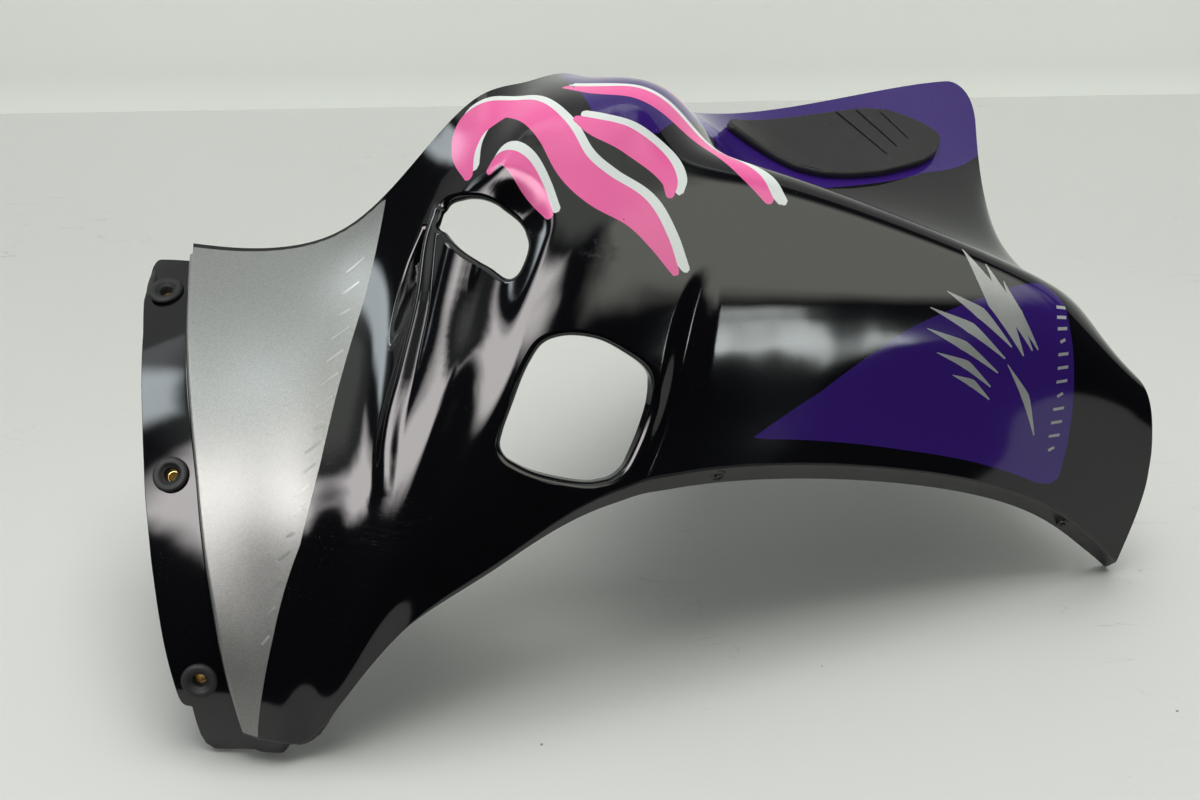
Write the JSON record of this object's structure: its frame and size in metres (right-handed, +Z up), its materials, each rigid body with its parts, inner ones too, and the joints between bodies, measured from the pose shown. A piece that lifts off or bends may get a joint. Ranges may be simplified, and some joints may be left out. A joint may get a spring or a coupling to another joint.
{
  "type": "motorcycle half fairing",
  "caption": "Moulded half fairing shell with a windscreen flange on rubber nuts, two openings, a slotted vent cover and a painted outer skin.",
  "frame": {"origin": "middle of the bounding box, on the table that the part lies on", "axes": "+X from the windscreen flange to the lower tip, +Y from the front edge to the far edge of the wing, +Z up from the table, outer side up"},
  "size_m": [0.4803, 0.366, 0.2453],
  "materials": {
    "painted_skin": "glossy black paint with silver, purple, pink and white decals, scuffed",
    "matt_black": "matt black moulded plastic, dusty",
    "rubber": "dull black rubber",
    "brass": "worn brass",
    "steel": "plain zinc-plated steel"
  },
  "bodies": {
    "root": {"fairing_shell": "painted_skin", "vent_cover": "matt_black", "well_nut_upper": "rubber", "well_nut_middle": "rubber", "well_nut_lower": "rubber", "nut_insert_upper": "brass", "nut_insert_middle": "brass", "nut_insert_lower": "brass", "vent_screw_left": "steel", "vent_screw_middle": "steel", "vent_screw_right": "steel"}
  },
  "joints": []
}
